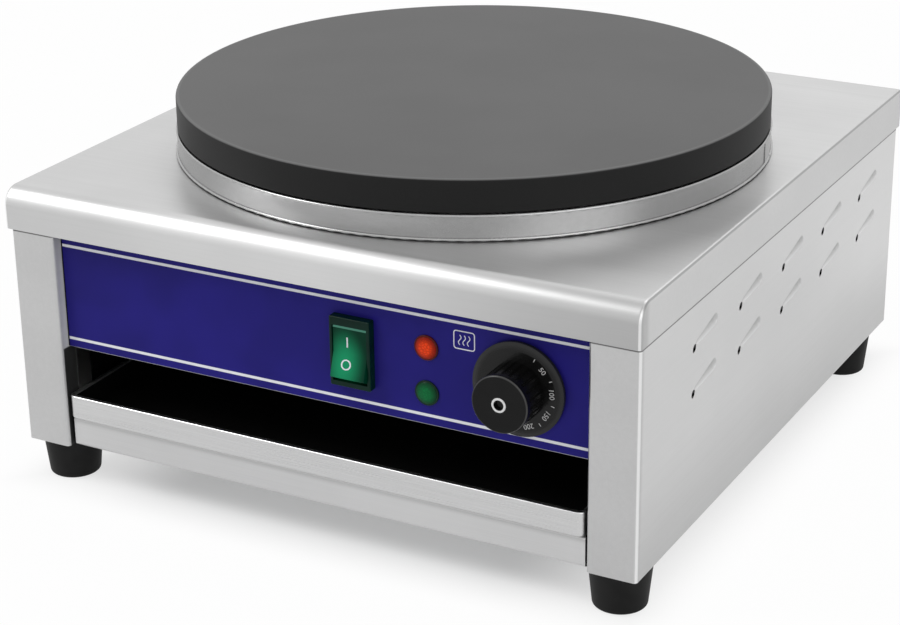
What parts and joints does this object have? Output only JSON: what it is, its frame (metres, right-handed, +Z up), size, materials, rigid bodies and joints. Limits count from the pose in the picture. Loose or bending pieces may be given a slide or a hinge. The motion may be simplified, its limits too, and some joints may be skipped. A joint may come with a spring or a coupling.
{
  "type": "electric crepe maker",
  "caption": "Countertop crepe maker: round cast griddle plate on a folded steel housing with a control panel, a thermostat knob, a pull-out utensil tray and rubber feet.",
  "frame": {"origin": "on the floor under the middle of the whole object, knob and cable gland included", "axes": "+X to the right seen from the front, +Y to the back, +Z up"},
  "size_m": [0.45, 0.496, 0.2465],
  "materials": {
    "stainless": "satin",
    "galvanised": "satin",
    "cast_plate": "matte",
    "element_sheath": "satin",
    "insulation": "matte",
    "black_paint": "satin",
    "zinc_steel": "satin",
    "panel_print": "satin",
    "black_plastic": "satin",
    "knob_plastic": "satin",
    "marker_plastic": "gloss",
    "green_lens": "gloss",
    "red_lens": "gloss",
    "brass": "satin",
    "thermostat_case": "matte",
    "steel_shaft": "satin",
    "copper": "satin",
    "terminal_ceramic": "satin",
    "gland_plastic": "satin",
    "rubber": "matte",
    "red_wire": "matte",
    "brown_wire": "matte",
    "earth_wire": "matte"
  },
  "bodies": {
    "housing": {"base_plate": "galvanised", "base_screws": "zinc_steel", "bulb_clip": "zinc_steel", "compartment_liner": "black_paint", "control_fascia": "stainless", "control_overlay": "panel_print", "cover_screws": "zinc_steel", "earth_fixings": "brass", "earth_wire": "earth_wire", "element_clips": "zinc_steel", "fascia_screws": "zinc_steel", "foot_nuts": "zinc_steel", "foot_screws": "zinc_steel", "front_left_foot": "rubber", "front_rail": "stainless", "front_right_foot": "rubber", "front_support_bar": "galvanised", "gland_body": "gland_plastic", "gland_locknut": "gland_plastic", "gland_nut": "gland_plastic", "gland_seal": "rubber", "green_lamp_body": "black_plastic", "green_lamp_lens": "green_lens", "griddle_plate": "cast_plate", "heater_wires": "red_wire", "inner_element": "element_sheath", "insulation_disc": "insulation", "insulation_pan": "galvanised", "left_side_panel": "stainless", "left_tray_runner": "galvanised", "outer_element": "element_sheath", "plate_ring": "stainless", "plate_studs": "zinc_steel", "rear_left_foot": "rubber", "rear_panel": "stainless", "rear_panel_screws": "zinc_steel", "rear_right_foot": "rubber", "rear_support_bar": "galvanised", "red_lamp_body": "black_plastic", "red_lamp_lens": "red_lens", "right_side_panel": "stainless", "right_tray_runner": "galvanised", "stud_nuts": "zinc_steel", "supply_wires": "brown_wire", "switch_housing": "black_plastic", "switch_terminals": "brass", "terminal_block": "terminal_ceramic", "terminal_screws": "zinc_steel", "thermostat_body": "thermostat_case", "thermostat_capillary": "copper", "thermostat_screws": "zinc_steel", "thermostat_terminals": "brass", "top_cover": "stainless"},
    "tray": {"utensil_tray": "stainless"},
    "rocker": {"switch_rocker": "green_lens"},
    "knob": {"knob_cap": "knob_plastic", "knob_marker": "marker_plastic", "knob_skirt": "knob_plastic", "thermostat_shaft": "steel_shaft"}
  },
  "joints": [
    {"name": "tray_slide", "type": "slide", "parent": "housing", "child": "tray", "axis": [0, -1, 0], "range_m": [0, 0.22]},
    {"name": "rocker_tilt", "type": "hinge", "parent": "housing", "child": "rocker", "pos_m": [0.0293, -0.21855, 0.1368], "axis": [1, 0, 0], "range_deg": [0, 18]},
    {"name": "knob_turn", "type": "hinge", "parent": "housing", "child": "knob", "pos_m": [0.143, -0.21955, 0.136], "axis": [0, 1, 0], "range_deg": [0, 270]}
  ]
}
